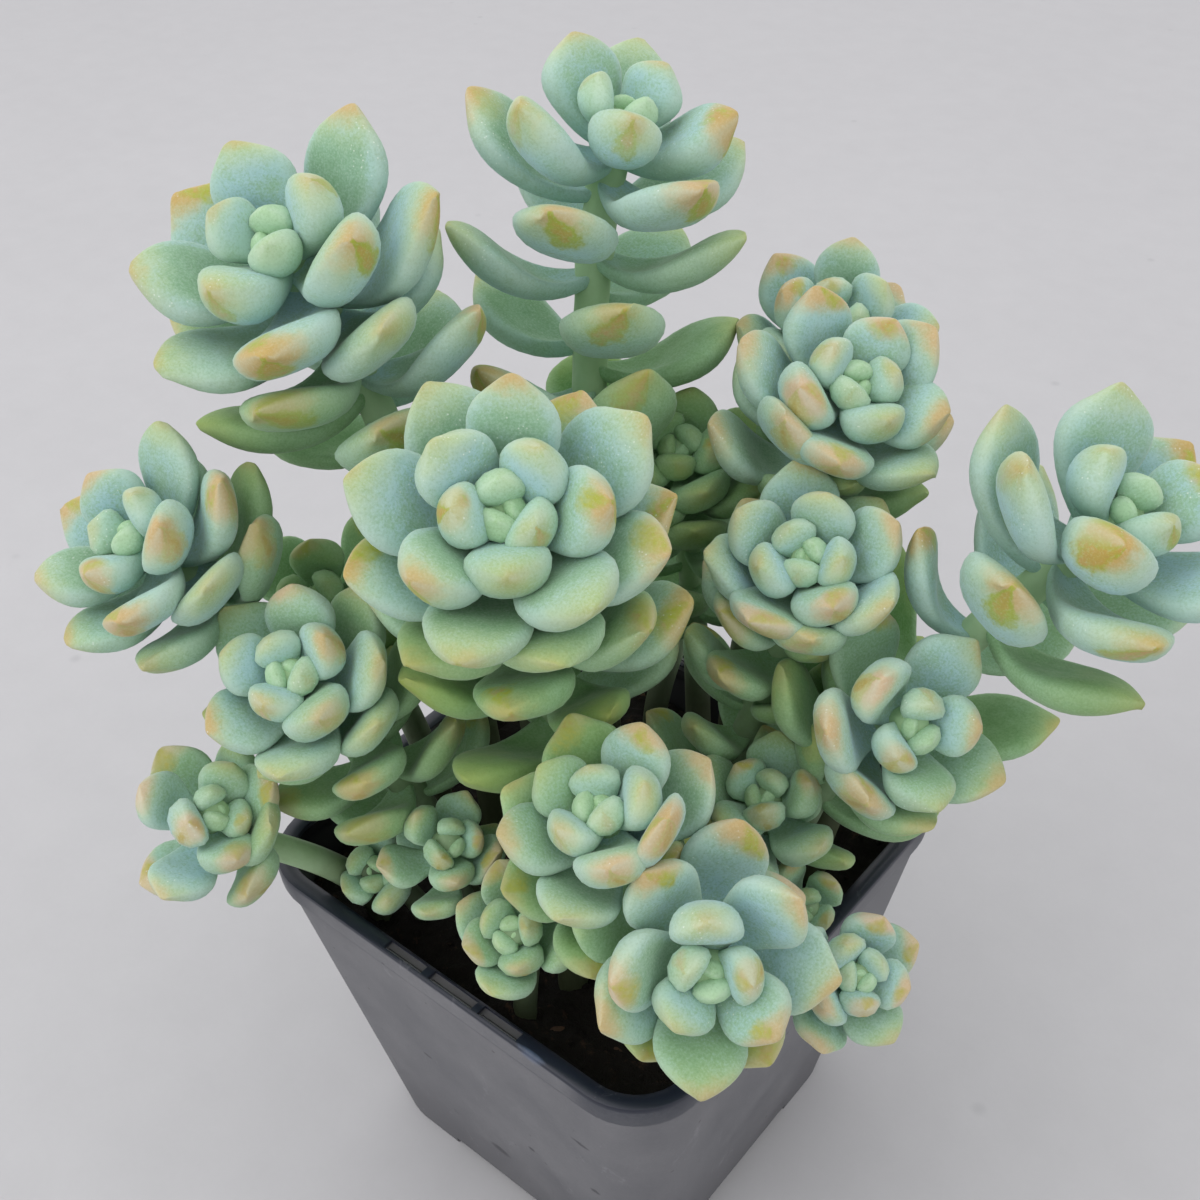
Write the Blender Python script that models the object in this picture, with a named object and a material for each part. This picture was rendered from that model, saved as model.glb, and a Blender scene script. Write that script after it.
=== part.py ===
"""A potted sedum: a square nursery pot, its soil, and the leafy stems that stand in the soil."""

import math
from collections import namedtuple

import bmesh
import bpy
from mathutils import Vector
from mathutils.bvhtree import BVHTree

# Pot, in metres
RIM_SIDE = 0.090
BASE_SIDE = 0.067
POT_HEIGHT = 0.074
LIP_HEIGHT = 0.005
LIP_WIDTH = 0.003
LIP_STEP = 0.0011
LEDGE_DEPTH = 0.0015
WALL = 0.0014
FLOOR = 0.0018
RIM_CORNER = 0.0125
BASE_CORNER = 0.0115
CORNER_STEPS = 4
FOOT_HEIGHT = 0.0022
FOOT_NOTCH = (0.026, 0.0035)
DRAIN_RADIUS = 0.0042
DRAIN_SIDES = 8
DRAIN_OFFSET = 0.018
SLOTS = ((-0.0068, 0.0085), (0.0038, 0.0096), (0.0140, 0.0082))
SLOT_WIDTH = 0.0019
SLOT_DEPTH = 0.0009
SLOT_INSET = 0.0016

# Between two pieces, between points that are merged, and where faces meet in a sharp edge
GAP = 0.0003
MERGE = 0.000001
SHARP_ANGLE = 45

# Soil
SOIL_TOP = 0.062
SOIL_BUMP = 0.0009
SOIL_WAVES = (210, 170, 330, 90)
SOIL_RINGS = (1.0, 0.60)

# Stems
BURIED = 0.012
STEM_SIDES = 5
STEM_RINGS = 5
STEM_TAPER = 0.78
STEM_RISE = 0.42
STEM_NECK = 0.30
CURVE_STEPS = 60

# Leaves. Each follows the one before it by the golden angle, and opens wider with age.
GOLDEN_ANGLE = math.radians(137.508)
BUD_LEAN = 14
OPENING_AGE = 6.5
BUD_LENGTH = 0.18
LENGTH_STEP = 0.078
DROP_STEP = 0.00005
DROP_POWER = 2.0
MATURE_AGE = 10
BUD_WIDTH = 0.44
LEAF_WIDTH = 0.305
BUD_THICKNESS = 0.58
LEAF_THICKNESS = 0.30
SMALL_LEAF = 0.012
LARGE_LEAF = 0.024
SMALL_EXTRA = 0.07
UPPER_SHARE = 0.35
LEAF_BOW = 0.15
ROOT_WIDTH = 0.27
ROOT_BODY = 0.36
WIDEST = 0.66
THICKEST = 0.60
TIP_ROUND = 1.6
TIP_POINT = 0.58
LEAF_RINGS = (0.40, 0.80)
YOUNG_RINGS = (0.62,)
YOUNG_LEAVES = 5

# How a leaf may move to clear its neighbours: down or up, sideways, and smaller. A size smaller
# counts as much as a move of MOVE_STEP degrees.
CLEARANCE = 0.0006
MOVE_STEP = 7
BENDS = (0, -7, 7, -14, 14, -22, 22, -32, 32)
TURNS = (0, 8, -8, 16, -16)
SIZES = (1.0, 0.92, 0.84, 0.76, 0.68)

# One row for each leafy stem, the most visible first. The crown is where its youngest leaves
# grow. tilt is the crown's lean from upright and facing the compass angle that it leans to.
# leaf is the length of a full-grown leaf, turn the angle of the youngest one, hand the sense
# of the spiral, pace how much older each leaf is than the one before it, spread how far old
# leaves open and drop how fast the growing stem leaves them behind.
Stem = namedtuple("Stem", "crown tilt facing leaf turn hand pace leaves spread drop foot radius")
STEMS = (
    Stem((0.001, -0.020, 0.152), 41, -49, 0.0256, 18, -1, 0.83, 37, 63, 1.15, (0.002, -0.008), 0.0030),
    Stem((-0.050, -0.012, 0.174), 34, -80, 0.0275, 239, -1, 1.10, 26, 65, 1.05, (-0.022, -0.006), 0.0030),
    Stem((-0.025, 0.038, 0.183), 21, -1, 0.0267, 50, -1, 1.25, 25, 63, 1.45, (-0.014, 0.017), 0.0030),
    Stem((0.046, -0.033, 0.103), 68, -53, 0.0200, 62, -1, 1.18, 19, 60, 0.85, (0.026, -0.022), 0.0026),
    Stem((0.064, 0.040, 0.145), 30, -14, 0.0262, 170, -1, 1.40, 23, 54, 1.25, (0.031, 0.019), 0.0028),
    Stem((0.049, 0.013, 0.116), 60, -34, 0.0198, 157, 1, 1.30, 20, 59, 1.10, (0.031, 0.005), 0.0026),
    Stem((0.019, 0.040, 0.150), 38, -25, 0.0210, 296, 1, 1.00, 25, 62, 0.90, (0.011, 0.027), 0.0026),
    Stem((-0.055, -0.044, 0.137), 39, -101, 0.0206, 128, -1, 1.25, 20, 62, 0.65, (-0.032, -0.022), 0.0026),
    Stem((-0.026, -0.041, 0.123), 35, -60, 0.0188, 71, 1, 1.00, 28, 63, 1.05, (-0.012, -0.024), 0.0026),
    Stem((0.025, -0.030, 0.117), 24, -106, 0.0183, 89, 1, 1.06, 24, 61, 0.90, (0.012, -0.024), 0.0026),
    Stem((0.027, 0.017, 0.134), 35, -70, 0.0180, 185, -1, 1.03, 37, 58, 0.80, (0.016, 0.010), 0.0026),
    Stem((-0.0318, -0.0567, 0.102), 45, 15, 0.0153, 347, -1, 1.15, 16, 65, 1.00, (-0.024, -0.034), 0.0024),
    Stem((-0.010, 0.034, 0.130), 32, -62, 0.0183, 324, -1, 0.95, 28, 65, 1.10, (-0.001, 0.029), 0.0024),
    Stem((0.0065, 0.0555, 0.1515), 40, -55, 0.0180, 60, 1, 1.10, 16, 62, 1.00, (0.001, 0.036), 0.0024),
    Stem((-0.004, -0.034, 0.095), 48, -4, 0.0116, 140, 1, 1.28, 13, 66, 1.10, (-0.001, -0.030), 0.0020),
    Stem((0.014, -0.038, 0.091), 51, -78, 0.0126, 338, 1, 1.10, 13, 65, 0.95, (0.011, -0.035), 0.0020),
    Stem((0.032, 0.002, 0.098), 30, -109, 0.0155, 16, -1, 1.16, 12, 65, 0.90, (0.022, -0.005), 0.0020),
    Stem((0.058, -0.012, 0.089), 40, -37, 0.0131, 81, -1, 1.03, 13, 65, 0.90, (0.034, -0.010), 0.0020),
    Stem((0.043, -0.002, 0.084), 50, -50, 0.0110, 10, -1, 1.20, 8, 62, 1.00, (0.029, -0.003), 0.0018),
    Stem((-0.046, -0.019, 0.114), 48, -60, 0.0190, 130, 1, 1.10, 14, 66, 1.20, (-0.032, -0.010), 0.0024),
    Stem((-0.021, -0.036, 0.078), 40, -60, 0.0130, 200, -1, 1.10, 9, 62, 1.00, (-0.017, -0.030), 0.0020),
    Stem((-0.052, 0.026, 0.094), 40, 150, 0.0180, 75, 1, 1.10, 9, 64, 1.10, (-0.030, 0.014), 0.0024),
    Stem((-0.018, 0.054, 0.092), 38, 105, 0.0175, 310, -1, 1.10, 9, 64, 1.10, (-0.015, 0.033), 0.0024),
    Stem((0.026, 0.056, 0.088), 36, 70, 0.0170, 160, 1, 1.10, 9, 64, 1.10, (0.021, 0.032), 0.0024),
)


def clear_scene():
    """Start from an empty scene."""
    for obj in list(bpy.data.objects):
        bpy.data.objects.remove(obj, do_unlink=True)


def make_material(name, colour, roughness):
    """A plain finish: colour as linear red, green and blue."""
    material = bpy.data.materials.new(name)
    material.use_nodes = True
    shader = material.node_tree.nodes["Principled BSDF"]
    shader.inputs["Base Color"].default_value = (*colour, 1.0)
    shader.inputs["Roughness"].default_value = roughness
    shader.inputs["Metallic"].default_value = 0.0
    material.diffuse_color = (*colour, 1.0)
    return material


def make_object(name, points, faces, material=None):
    """An object from points and faces, in the main collection."""
    mesh = bpy.data.meshes.new(name)
    mesh.from_pydata([tuple(point) for point in points], [], faces)
    mesh.update()
    if material:
        mesh.materials.append(material)
    obj = bpy.data.objects.new(name, mesh)
    bpy.context.scene.collection.objects.link(obj)
    return obj


def square_ring(half, corner, height, steps=CORNER_STEPS):
    """A level square of side 2 * half with round corners, counter-clockwise from above."""
    ring = []
    for quarter in range(4):
        middle = math.radians(45 + 90 * quarter)
        reach = math.sqrt(2) * (half - corner)
        centre = Vector((reach * math.cos(middle), reach * math.sin(middle), height))
        for step in range(steps + 1):
            angle = math.radians(90 * quarter + 90 * step / steps)
            ring.append(centre + corner * Vector((math.cos(angle), math.sin(angle), 0)))
    return ring


def skin_rings(rings, root=None, tip=None):
    """Points and faces of a closed body through rings that run up, seen counter-clockwise."""
    size = len(rings[0])
    points = [point for ring in rings for point in ring]
    faces = []
    for level in range(len(rings) - 1):
        low = level * size
        for step in range(size):
            following = (step + 1) % size
            faces.append((low + step, low + following, low + size + following, low + size + step))
    last = (len(rings) - 1) * size
    if root is None:
        faces.append(tuple(reversed(range(size))))
    else:
        points.append(root)
        faces.extend(((step + 1) % size, step, len(points) - 1) for step in range(size))
    if tip is None:
        faces.append(tuple(range(last, last + size)))
    else:
        points.append(tip)
        faces.extend((last + step, last + (step + 1) % size, len(points) - 1) for step in range(size))
    return points, faces


def add_box(name, centre, size):
    """A cutter in the shape of a box."""
    corners = [
        Vector(centre) + Vector((x * size[0] / 2, y * size[1] / 2, z * size[2] / 2))
        for z in (-1, 1)
        for x, y in ((-1, -1), (1, -1), (1, 1), (-1, 1))
    ]
    return make_object(name, *skin_rings([corners[:4], corners[4:]]))


def apply_boolean(obj, operation, others):
    """Cut the others from an object, or join them to it, and remove them."""
    group = bpy.data.collections.new("joined")
    bpy.context.scene.collection.children.link(group)
    for other in others:
        bpy.context.scene.collection.objects.unlink(other)
        group.objects.link(other)
    modifier = obj.modifiers.new(operation.lower(), "BOOLEAN")
    modifier.operation = operation
    modifier.solver = "EXACT"
    modifier.operand_type = "COLLECTION"
    modifier.collection = group
    bpy.context.view_layer.objects.active = obj
    bpy.ops.object.modifier_apply(modifier=modifier.name)
    for other in others:
        bpy.data.objects.remove(other, do_unlink=True)
    bpy.data.collections.remove(group)


def split_faces(obj):
    """Split an object's faces into triangles, which stay flat when they are cut."""
    mesh = bmesh.new()
    mesh.from_mesh(obj.data)
    bmesh.ops.triangulate(mesh, faces=mesh.faces)
    mesh.to_mesh(obj.data)
    mesh.free()


def keep_outer_shell(obj):
    """Fill sealed hollows and drop loose scraps: only the largest shell stays."""
    mesh = bmesh.new()
    mesh.from_mesh(obj.data)
    bmesh.ops.remove_doubles(mesh, verts=mesh.verts, dist=MERGE)
    unseen = set(mesh.faces)
    shells = []
    while unseen:
        shell = set()
        edge_of_search = [unseen.pop()]
        while edge_of_search:
            face = edge_of_search.pop()
            shell.add(face)
            for edge in face.edges:
                for neighbour in edge.link_faces:
                    if neighbour in unseen:
                        unseen.remove(neighbour)
                        edge_of_search.append(neighbour)
        shells.append(shell)
    shells.sort(key=len)
    scraps = [face for shell in shells[:-1] for face in shell]
    bmesh.ops.delete(mesh, geom=scraps, context="FACES")
    loose = [vert for vert in mesh.verts if not vert.link_faces]
    bmesh.ops.delete(mesh, geom=loose, context="VERTS")
    mesh.to_mesh(obj.data)
    mesh.free()
    split_faces(obj)


def shade(obj):
    """Smooth shading with sharp edges."""
    obj.data.shade_smooth()
    obj.data.set_sharp_from_angle(angle=math.radians(SHARP_ANGLE))


def wall_half(height):
    """Half the side of the pot's outer wall at a height, below the lip."""
    low = BASE_SIDE / 2
    high = RIM_SIDE / 2 - LIP_STEP
    return low + (high - low) * height / (POT_HEIGHT - LIP_HEIGHT)


def wall_corner(height):
    """The outer corner radius at a height."""
    return BASE_CORNER + (RIM_CORNER - BASE_CORNER) * height / POT_HEIGHT


def round_ring(middle):
    """A level ring of a drain hole's size round a point."""
    angles = [math.tau * step / DRAIN_SIDES for step in range(DRAIN_SIDES)]
    return [middle + DRAIN_RADIUS * Vector((math.cos(angle), math.sin(angle), 0)) for angle in angles]


def pot_cutters():
    """Notches that leave a foot at each corner, drain holes, and label slots in the lip."""
    cutters = []
    notch_length, notch_depth = FOOT_NOTCH
    for side in (-1, 1):
        edge = side * BASE_SIDE / 2
        deep = 2 * notch_depth
        cutters.append(add_box("notch", (edge, 0, 0), (deep, notch_length, 2 * FOOT_HEIGHT)))
        cutters.append(add_box("notch", (0, edge, 0), (notch_length, deep, 2 * FOOT_HEIGHT)))
    for x in (-DRAIN_OFFSET, DRAIN_OFFSET):
        for y in (-DRAIN_OFFSET, DRAIN_OFFSET):
            middle = Vector((x, y, 0))
            rings = [round_ring(middle + Vector((0, 0, height))) for height in (-FLOOR, 2 * FLOOR)]
            cutters.append(make_object("drain", *skin_rings(rings)))
    for side in (-1, 1):
        for place, length in SLOTS:
            centre = (-side * place, side * (RIM_SIDE / 2 - SLOT_INSET), POT_HEIGHT)
            cutters.append(add_box("slot", centre, (length, SLOT_WIDTH, 2 * SLOT_DEPTH)))
    return cutters


def pot_shape():
    """Points and faces of the square pot: a tapered wall, a lip with a ledge on top, and a floor."""
    lip_foot = POT_HEIGHT - LIP_HEIGHT
    ledge = RIM_SIDE / 2 - LIP_WIDTH
    under_ledge = POT_HEIGHT - LEDGE_DEPTH
    outline = [
        (BASE_SIDE / 2, BASE_CORNER, 0),
        (wall_half(lip_foot), wall_corner(lip_foot) - LIP_STEP, lip_foot),
        (RIM_SIDE / 2 - LIP_STEP / 8, RIM_CORNER, lip_foot + LIP_STEP / 4),
        (RIM_SIDE / 2, RIM_CORNER, POT_HEIGHT),
        (ledge, RIM_CORNER - LIP_WIDTH, POT_HEIGHT),
        (ledge, RIM_CORNER - LIP_WIDTH, under_ledge),
        (wall_half(under_ledge) - WALL, RIM_CORNER - LIP_WIDTH, under_ledge - LEDGE_DEPTH),
        (wall_half(FLOOR) - WALL, BASE_CORNER - WALL, FLOOR),
    ]
    return skin_rings([square_ring(half, corner, height) for half, corner, height in outline])


def make_pot(material):
    """The pot with its notches, drain holes and label slots."""
    pot = make_object("pot", *pot_shape(), material)
    apply_boolean(pot, "DIFFERENCE", pot_cutters())
    keep_outer_shell(pot)
    shade(pot)
    return pot


def soil_height(x, y):
    """The soil's uneven top, from two waves of different lengths."""
    first, second, third, fourth = SOIL_WAVES
    bump = math.sin(first * x) * math.cos(second * y) + math.sin(third * y + fourth * x)
    return SOIL_TOP + SOIL_BUMP * bump


def inner_half(height):
    """Half the side of the pot's inner wall at a height."""
    return wall_half(height) - WALL


def soil_shape():
    """Points and faces of the soil, which fills the pot up to its uneven top."""
    floor = FLOOR + GAP
    rings = [
        square_ring(inner_half(FLOOR) - GAP, BASE_CORNER - WALL, floor),
        square_ring(inner_half(SOIL_TOP) - GAP, wall_corner(SOIL_TOP) - WALL, SOIL_TOP - SOIL_BUMP),
    ]
    edge = rings[-1]
    for share in SOIL_RINGS[1:]:
        ring = [Vector((point.x * share, point.y * share, 0)) for point in edge]
        for point in ring:
            point.z = soil_height(point.x, point.y)
        rings.append(ring)
    return skin_rings(rings, tip=Vector((0, 0, soil_height(0, 0))))


def make_soil(material):
    """The soil with a plain hole for each stem."""
    soil = make_object("soil", *soil_shape(), material)
    holes = [make_object("hole", *tube_shape(stem, GAP)) for stem in STEMS]
    apply_boolean(soil, "DIFFERENCE", holes)
    keep_outer_shell(soil)
    shade(soil)
    return soil


def crown_axis(stem):
    """The direction in which a stem's crown looks."""
    tilt = math.radians(stem.tilt)
    facing = math.radians(stem.facing)
    return Vector((math.sin(tilt) * math.cos(facing), math.sin(tilt) * math.sin(facing), math.cos(tilt)))


def stem_curve(stem, steps):
    """Points and directions along a stem, evenly by parameter, from its foot to its crown."""
    crown = Vector(stem.crown)
    foot = Vector((stem.foot[0], stem.foot[1], SOIL_TOP))
    reach = (crown - foot).length
    rise = foot + Vector((0, 0, STEM_RISE * reach))
    neck = crown - crown_axis(stem) * STEM_NECK * reach
    curve = []
    for step in range(steps + 1):
        t = step / steps
        point = (
            foot * (1 - t) ** 3 + rise * 3 * t * (1 - t) ** 2 + neck * 3 * t * t * (1 - t) + crown * t ** 3
        )
        direction = (
            (rise - foot) * (1 - t) ** 2 + (neck - rise) * 2 * t * (1 - t) + (crown - neck) * t * t
        )
        curve.append((point, direction.normalized()))
    return curve


def point_below_crown(curve, drop):
    """The place and direction on a stem at a length below its crown."""
    point, direction = curve[-1]
    for before, along in reversed(curve[:-1]):
        run = (point - before).length
        if run >= drop:
            share = drop / run
            return point.lerp(before, share), direction.lerp(along, share).normalized()
        drop -= run
        point, direction = before, along
    return point, direction


def tube_shape(stem, extra=0.0):
    """A stem from its buried foot to its crown, or with extra round it the hole it stands in."""
    curve = stem_curve(stem, STEM_RINGS)
    bottom = Vector((stem.foot[0], stem.foot[1], SOIL_TOP - BURIED - extra))
    stations = [(bottom, Vector((0, 0, 1)), stem.radius)]
    for number, (point, direction) in enumerate(curve):
        taper = 1 - (1 - STEM_TAPER) * number / STEM_RINGS
        stations.append((point, direction, stem.radius * taper))
    rings = []
    side = Vector((1, 0, 0))
    for point, direction, radius in stations:
        side = (side - direction * side.dot(direction)).normalized()
        other = direction.cross(side)
        size = radius + extra
        rings.append([
            point + size * (math.cos(angle) * side + math.sin(angle) * other)
            for angle in (math.tau * step / STEM_SIDES for step in range(STEM_SIDES))
        ])
    if extra:
        return skin_rings(rings[:3])
    return skin_rings(rings, tip=Vector(stem.crown) + crown_axis(stem) * stem.radius)


def leaf_width(along):
    """Half width at a share of the length: narrow root, broad shoulder, blunt tip."""
    if along < WIDEST:
        return ROOT_WIDTH + (1 - ROOT_WIDTH) * math.sin(math.pi / 2 * along / WIDEST)
    past = (along - WIDEST) / (1 - WIDEST)
    return (1 - past ** TIP_ROUND) ** TIP_POINT


def leaf_body(along):
    """Thickness at a share of the length."""
    if along < THICKEST:
        return ROOT_BODY + (1 - ROOT_BODY) * math.sin(math.pi / 2 * along / THICKEST)
    past = (along - THICKEST) / (1 - THICKEST)
    return (1 - past ** TIP_ROUND) ** TIP_POINT


def place_leaf(stem, curve, number, bend, turn, size):
    """Root, direction along the stem, direction outwards, opening angle and length of a leaf."""
    age = number * stem.pace
    axis = crown_axis(stem)
    start = Vector((0, 0, 1)).cross(axis).normalized()
    root, direction = point_below_crown(curve, stem.drop * DROP_STEP * age ** DROP_POWER)
    start = (start - direction * start.dot(direction)).normalized()
    other = direction.cross(start)
    angle = math.radians(stem.turn + turn) + stem.hand * GOLDEN_ANGLE * number
    outwards = math.cos(angle) * start + math.sin(angle) * other
    opening = math.radians(BUD_LEAN + stem.spread * (1 - math.exp(-age / OPENING_AGE)) + bend)
    length = stem.leaf * min(1, BUD_LENGTH + LENGTH_STEP * age) * size
    return root, direction, outwards, opening, length


def shape_leaf(stem, number, place, extra=0.0):
    """Points and faces of one thick leaf, four-sided, flatter above than below."""
    root, direction, outwards, opening, length = place
    mature = min(1, number * stem.pace / MATURE_AGE)
    small = max(0, min(1, (LARGE_LEAF - stem.leaf) / (LARGE_LEAF - SMALL_LEAF)))
    width = length * (BUD_WIDTH + (LEAF_WIDTH - BUD_WIDTH) * mature + SMALL_EXTRA * small) + extra
    body = length * (BUD_THICKNESS + (LEAF_THICKNESS - BUD_THICKNESS) * mature + SMALL_EXTRA * small) + extra
    chord = math.cos(opening) * direction + math.sin(opening) * outwards
    under = math.sin(opening) * -direction + math.cos(opening) * outwards
    side = chord.cross(under)
    rings = []
    for along in LEAF_RINGS if number >= YOUNG_LEAVES else YOUNG_RINGS:
        middle = root + chord * along * length + under * 4 * LEAF_BOW * length * along * (1 - along)
        slope = (chord + under * 4 * LEAF_BOW * (1 - 2 * along)).normalized()
        down = side.cross(slope)
        half = width * leaf_width(along)
        thick = body * leaf_body(along)
        rings.append([
            middle - down * thick * UPPER_SHARE,
            middle + side * half,
            middle + down * thick * (1 - UPPER_SHARE),
            middle - side * half,
        ])
    tip = root + chord * (length + extra)
    return skin_rings(rings, root=root, tip=tip)


def leaf_moves():
    """Every way in which a leaf may move to clear its neighbours, the slightest first."""
    moves = []
    for bend in BENDS:
        for turn in TURNS:
            for number, size in enumerate(SIZES):
                moves.append(((abs(bend) + abs(turn)) / MOVE_STEP + number, bend, turn, size))
    moves.sort(key=lambda move: move[0])
    return [move[1:] for move in moves]


class Solid:
    """Something that a leaf has to clear: its surface, and a ball round it to pass it over quickly."""

    def __init__(self, owner, shape):
        points = shape[0]
        self.owner = owner
        self.tree = BVHTree.FromPolygons(*shape)
        self.centre = sum(points, Vector()) / len(points)
        self.reach = max((point - self.centre).length for point in points)

    def meets(self, other):
        """Whether it crosses another stem's solid."""
        if self.owner == other.owner or (self.centre - other.centre).length > self.reach + other.reach:
            return False
        return bool(self.tree.overlap(other.tree))


def clear_place(stem, owner, curve, number, solids):
    """The first place of a leaf, of all that its moves allow, where it clears every solid."""
    for bend, turn, size in leaf_moves():
        place = place_leaf(stem, curve, number, bend, turn, size)
        leaf = Solid(owner, shape_leaf(stem, number, place, CLEARANCE))
        if not any(leaf.meets(solid) for solid in solids):
            return place
    return None


def grow_leaves():
    """Places of all leaves, set round by round from the youngest, so that no two stems' leaves meet."""
    curves = [stem_curve(stem, CURVE_STEPS) for stem in STEMS]
    solids = [Solid(None, pot_shape()), Solid(None, soil_shape())]
    solids += [Solid(owner, tube_shape(stem)) for owner, stem in enumerate(STEMS)]
    leaves = [[] for _ in STEMS]
    for number in range(max(stem.leaves for stem in STEMS)):
        for owner, stem in enumerate(STEMS):
            if number < stem.leaves:
                place = clear_place(stem, owner, curves[owner], number, solids)
                if place:
                    leaves[owner].append((number, place))
                    solids.append(Solid(owner, shape_leaf(stem, number, place)))
    return leaves


def make_leafy_stem(name, stem, leaves, material):
    """One body from a stem and its leaves."""
    leafy_stem = make_object(name, *tube_shape(stem), material)
    parts = [make_object("leaf", *shape_leaf(stem, number, place), material) for number, place in leaves]
    for part in [leafy_stem, *parts]:
        split_faces(part)
    apply_boolean(leafy_stem, "UNION", parts)
    keep_outer_shell(leafy_stem)
    shade(leafy_stem)


def main():
    """Build the pot, the soil and every leafy stem."""
    clear_scene()
    pot_finish = make_material("pot_plastic", (0.035, 0.036, 0.040), 0.55)
    soil_finish = make_material("potting_soil", (0.012, 0.009, 0.007), 0.95)
    leaf_finish = make_material("sedum_leaf", (0.29, 0.50, 0.38), 0.60)
    make_pot(pot_finish)
    make_soil(soil_finish)
    for number, (stem, leaves) in enumerate(zip(STEMS, grow_leaves()), 1):
        make_leafy_stem(f"leafy_stem_{number:02d}", stem, leaves, leaf_finish)


main()
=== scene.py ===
import math
import random

import bpy
import numpy as np
from mathutils import Matrix, Vector, kdtree, noise


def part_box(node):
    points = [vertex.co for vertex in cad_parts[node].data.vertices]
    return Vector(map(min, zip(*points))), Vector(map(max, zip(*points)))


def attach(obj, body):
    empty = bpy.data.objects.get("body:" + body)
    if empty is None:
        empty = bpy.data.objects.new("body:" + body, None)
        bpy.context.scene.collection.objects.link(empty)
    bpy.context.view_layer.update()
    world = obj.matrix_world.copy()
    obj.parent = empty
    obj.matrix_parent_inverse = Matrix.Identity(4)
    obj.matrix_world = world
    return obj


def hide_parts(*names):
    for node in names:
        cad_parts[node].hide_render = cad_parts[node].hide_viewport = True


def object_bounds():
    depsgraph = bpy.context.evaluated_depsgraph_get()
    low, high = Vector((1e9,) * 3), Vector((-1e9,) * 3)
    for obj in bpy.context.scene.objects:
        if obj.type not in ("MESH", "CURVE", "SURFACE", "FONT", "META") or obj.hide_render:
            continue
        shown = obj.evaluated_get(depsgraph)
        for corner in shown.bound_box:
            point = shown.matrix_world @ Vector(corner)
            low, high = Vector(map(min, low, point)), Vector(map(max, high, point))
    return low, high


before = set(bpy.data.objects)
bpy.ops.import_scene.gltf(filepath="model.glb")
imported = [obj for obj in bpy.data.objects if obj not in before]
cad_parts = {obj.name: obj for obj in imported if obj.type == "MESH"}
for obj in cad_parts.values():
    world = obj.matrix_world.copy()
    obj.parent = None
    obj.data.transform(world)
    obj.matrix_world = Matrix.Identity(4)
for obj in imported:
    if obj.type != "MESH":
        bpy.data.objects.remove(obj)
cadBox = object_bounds()
print("frame loaded:", len(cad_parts), "nodes")


# Working with objects and edit mode

def deselectAll():
    if bpy.context.object and bpy.context.object.mode != "OBJECT":
        bpy.ops.object.mode_set(mode="OBJECT")
    bpy.ops.object.select_all(action="DESELECT")


def activate(piece):
    deselectAll()
    piece.select_set(True)
    bpy.context.view_layer.objects.active = piece


def edit(piece):
    activate(piece)
    bpy.ops.object.mode_set(mode="EDIT")
    bpy.ops.mesh.select_all(action="DESELECT")


def leaveEdit():
    bpy.ops.object.mode_set(mode="OBJECT")


def selectPoints(piece, test):  # selects the points whose place passes the test, in edit mode
    bpy.ops.mesh.select_mode(type="VERT")
    bpy.ops.mesh.select_all(action="DESELECT")
    bpy.ops.object.mode_set(mode="OBJECT")
    for point in piece.data.vertices:
        point.select = test(point.co)
    bpy.ops.object.mode_set(mode="EDIT")


def addModifier(piece, kind, **settings):  # adds a modifier and applies it
    activate(piece)
    modifier = piece.modifiers.new(kind.lower(), kind)
    for key, value in settings.items():
        setattr(modifier, key, value)
    bpy.ops.object.modifier_apply(modifier=modifier.name)


def copyOf(master):  # with a mesh of its own
    piece = master.copy()
    piece.data = master.data.copy()
    bpy.context.scene.collection.objects.link(piece)
    return piece


def pointsOf(piece):
    return np.array([point.co for point in piece.data.vertices])


def joinPieces(pieces, name):
    deselectAll()
    for piece in pieces:
        piece.select_set(True)
    bpy.context.view_layer.objects.active = pieces[0]
    if len(pieces) > 1:
        bpy.ops.object.join()
    joined = bpy.context.view_layer.objects.active
    joined.name = name
    joined.data.name = name
    return joined


def smooth(piece, angle=None):
    activate(piece)
    if angle is None:
        bpy.ops.object.shade_smooth()
    else:
        bpy.ops.object.shade_smooth_by_angle(angle=math.radians(angle))


def finishPiece(piece, finish, slot, *nodes):
    piece.data.materials.clear()
    piece.data.materials.append(finish)
    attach(piece, "root")
    if nodes:
        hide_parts(*nodes)


# Shader maths

class Value:  # a number, colour or vector that varies over a surface
    def __init__(self, finish, socket):
        self.finish = finish
        self.socket = socket

    def maths(self, operation, first, second):
        return self.finish.add("ShaderNodeMath", {"operation": operation}, [first, second])

    def __add__(self, other):
        return self.maths("ADD", self, other)

    def __radd__(self, other):
        return self.maths("ADD", other, self)

    def __sub__(self, other):
        return self.maths("SUBTRACT", self, other)

    def __rsub__(self, other):
        return self.maths("SUBTRACT", other, self)

    def __mul__(self, other):
        return self.maths("MULTIPLY", self, other)

    def __rmul__(self, other):
        return self.maths("MULTIPLY", other, self)

    def __pow__(self, other):
        return self.maths("POWER", self, other)

    def over(self, other):  # the larger of the two
        return self.maths("MAXIMUM", self, other)

    def under(self, other):  # the smaller of the two
        return self.maths("MINIMUM", self, other)

    def absolute(self):
        return self.maths("ABSOLUTE", self, 0.0)

    def fraction(self):
        return self.maths("FRACT", self, 0.0)

    def clamped(self):
        return self.over(0.0).under(1.0)


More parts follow.
